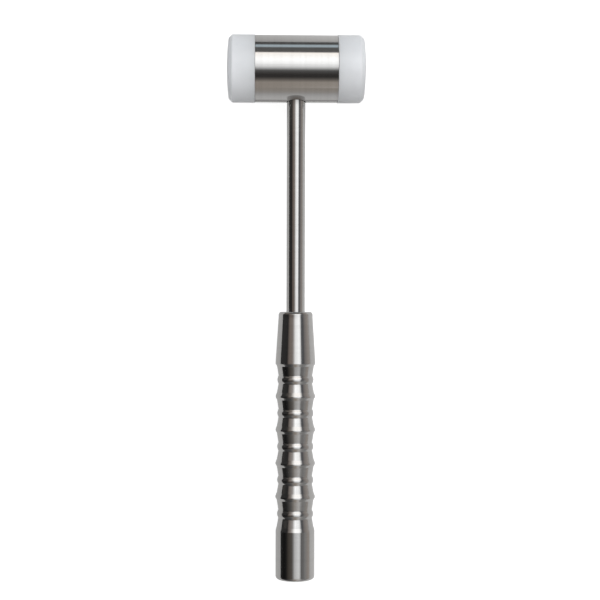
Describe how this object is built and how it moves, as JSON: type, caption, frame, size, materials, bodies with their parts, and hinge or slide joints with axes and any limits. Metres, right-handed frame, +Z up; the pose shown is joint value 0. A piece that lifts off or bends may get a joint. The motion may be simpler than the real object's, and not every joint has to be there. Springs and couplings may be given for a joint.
{
  "type": "soft face hammer",
  "caption": "Soft face hammer: a round steel barrel head with screw-on white nylon faces, on a slim steel shaft with a turned, ringed steel grip.",
  "frame": {"origin": "bottom centre of the bounding box, with the hammer lying flat", "axes": "+X along the head to the right-hand face, +Y along the handle to the head, +Z up from the bench"},
  "size_m": [0.06, 0.2368, 0.0294],
  "materials": {
    "turned_steel": "fine turned satin",
    "fixing_steel": "plain machined",
    "white_nylon": "milky satin",
    "black_rubber": "matte"
  },
  "bodies": {
    "hammer_frame": {"head_barrel": "turned_steel", "head_cross_pin": "fixing_steel", "shaft": "turned_steel", "grip": "turned_steel", "grip_screw": "fixing_steel", "grip_lock_washer": "fixing_steel", "end_plug": "turned_steel"},
    "left_ring": {"left_lock_ring": "black_rubber"},
    "left_screw_face": {"left_face": "white_nylon", "left_face_stud": "fixing_steel"},
    "right_ring": {"right_lock_ring": "black_rubber"},
    "right_screw_face": {"right_face": "white_nylon", "right_face_stud": "fixing_steel"}
  },
  "joints": [
    {"name": "left_face_travel", "type": "slide", "parent": "hammer_frame", "child": "left_ring", "axis": [-1, 0, 0], "range_m": [0, 0.01]},
    {"name": "left_face_turn", "type": "hinge", "parent": "left_ring", "child": "left_screw_face", "pos_m": [-0.018, 0.10372, 0.0147], "axis": [-1, 0, 0], "range_deg": [0, 2880]},
    {"name": "right_face_travel", "type": "slide", "parent": "hammer_frame", "child": "right_ring", "axis": [1, 0, 0], "range_m": [0, 0.01]},
    {"name": "right_face_turn", "type": "hinge", "parent": "right_ring", "child": "right_screw_face", "pos_m": [0.018, 0.10372, 0.0147], "axis": [1, 0, 0], "range_deg": [0, 2880]}
  ],
  "couplings": [
    {"joint": "left_face_travel", "follows": "left_face_turn", "m_per_rad": 0.00019894},
    {"joint": "right_face_travel", "follows": "right_face_turn", "m_per_rad": 0.00019894}
  ]
}
